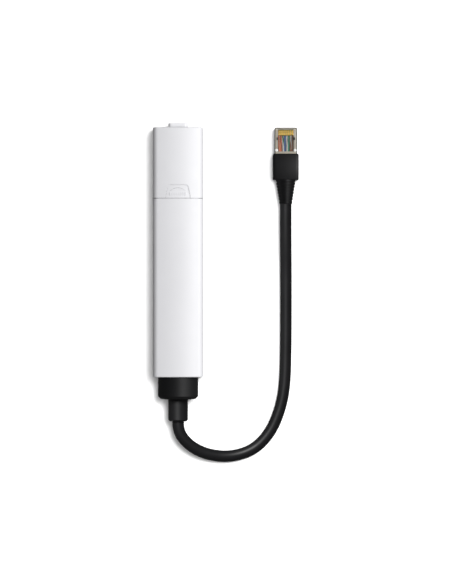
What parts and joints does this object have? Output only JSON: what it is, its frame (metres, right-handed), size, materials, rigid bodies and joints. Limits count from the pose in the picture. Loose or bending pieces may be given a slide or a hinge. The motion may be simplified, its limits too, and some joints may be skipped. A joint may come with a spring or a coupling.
{
  "type": "bluetooth audio receiver",
  "caption": "White stick-shaped wireless audio receiver with a pull-off cap, release tab and end button, on a short black lead ending in a clear modular plug.",
  "frame": {"origin": "under the middle of the stick, from the button's top to the neck's end, on its flat back", "axes": "+Y along the stick towards the button, +X across it towards the lead's straight leg, +Z out of its crowned front"},
  "size_m": [0.0755, 0.1758, 0.024],
  "materials": {
    "white_shell": "fine satin moulded finish",
    "white_button": "satin",
    "seal_rubber": "matte",
    "black_collar": "satin black moulding",
    "nut_metal": "zinc plated",
    "black_rubber": "satin",
    "clamp_metal": "plain crimp",
    "cable_jacket": "soft satin jacket",
    "boot_rubber": "satin moulded",
    "clear_plug": "clear polycarbonate",
    "clear_latch": "clear polycarbonate",
    "clear_bar": "clear polycarbonate",
    "contact_gold": "gold plated",
    "board_green": "solder mask",
    "module_board": "solder mask",
    "shield_metal": "tinned sheet",
    "antenna_ceramic": "chip ceramic",
    "header_plastic": "natural nylon",
    "transformer_plastic": "moulded",
    "capacitor_can": "drawn can",
    "ferrite": "sintered",
    "chip_black": "epoxy mould",
    "crystal_can": "nickel lid",
    "led_clear": "clear dome",
    "passive_ceramic": "fired",
    "switch_plastic": "moulded",
    "plunger_plastic": "moulded",
    "wire_orange": "insulation",
    "wire_green": "insulation",
    "wire_blue": "insulation",
    "wire_brown": "insulation",
    "wire_white_orange": "striped insulation",
    "wire_white_green": "striped insulation",
    "wire_white_blue": "striped insulation",
    "wire_white_brown": "striped insulation"
  },
  "bodies": {
    "stick": {"audio_chip": "chip_black", "bluetooth_module": "module_board", "cable": "cable_jacket", "cable_clamp": "clamp_metal", "cable_plug_end": "cable_jacket", "cable_tail": "cable_jacket", "cap_seal": "seal_rubber", "crystal": "crystal_can", "end_collar": "black_collar", "filter_capacitors": "capacitor_can", "gland_nut": "nut_metal", "inner_pair_blue": "wire_blue", "inner_pair_brown": "wire_brown", "inner_pair_green": "wire_green", "inner_pair_orange": "wire_orange", "lead_header": "header_plastic", "lead_plug": "header_plastic", "line_transformer_left": "transformer_plastic", "line_transformer_right": "transformer_plastic", "main_board": "board_green", "main_sleeve": "white_shell", "memory_chip": "chip_black", "module_antenna": "antenna_ceramic", "module_shield": "shield_metal", "passive_components": "passive_ceramic", "plug_body": "clear_plug", "plug_boot": "boot_rubber", "plug_contacts": "contact_gold", "plug_load_bar": "clear_bar", "plug_wire_1": "wire_white_orange", "plug_wire_2": "wire_orange", "plug_wire_3": "wire_white_green", "plug_wire_4": "wire_blue", "plug_wire_5": "wire_white_blue", "plug_wire_6": "wire_green", "plug_wire_7": "wire_white_brown", "plug_wire_8": "wire_brown", "power_converter_chip": "chip_black", "power_inductor": "ferrite", "status_led": "led_clear", "strain_relief": "black_rubber", "switch_body": "switch_plastic"},
    "cap": {"cap_shell": "white_shell"},
    "button": {"pairing_button": "white_button"},
    "plunger": {"switch_plunger": "plunger_plastic"},
    "tab": {"release_tab": "white_shell"},
    "latch": {"plug_latch": "clear_latch"}
  },
  "joints": [
    {"name": "cap_slide", "type": "slide", "parent": "stick", "child": "cap", "axis": [0, 1, 0], "range_m": [0, 0.04]},
    {"name": "button_press", "type": "slide", "parent": "cap", "child": "button", "axis": [0, -1, 0], "range_m": [0, 0.0005], "stiffness_N_per_m": 800, "springref_m": -0.0003},
    {"name": "plunger_press", "type": "slide", "parent": "stick", "child": "plunger", "axis": [0, -1, 0], "range_m": [0, 0.0005]},
    {"name": "tab_press", "type": "hinge", "parent": "stick", "child": "tab", "pos_m": [0, 0.0389, 0.0216], "axis": [-1, 0, 0], "range_deg": [0, 7], "stiffness_Nm_per_rad": 0.02, "springref_deg": -2.86},
    {"name": "latch_press", "type": "hinge", "parent": "stick", "child": "latch", "pos_m": [0.05585, 0.0732, 0.0033], "axis": [-1, 0, 0], "range_deg": [0, 7], "stiffness_Nm_per_rad": 0.02, "springref_deg": -2.86}
  ],
  "couplings": [
    {"joint": "plunger_press", "follows": "button_press", "ratio": 1}
  ]
}
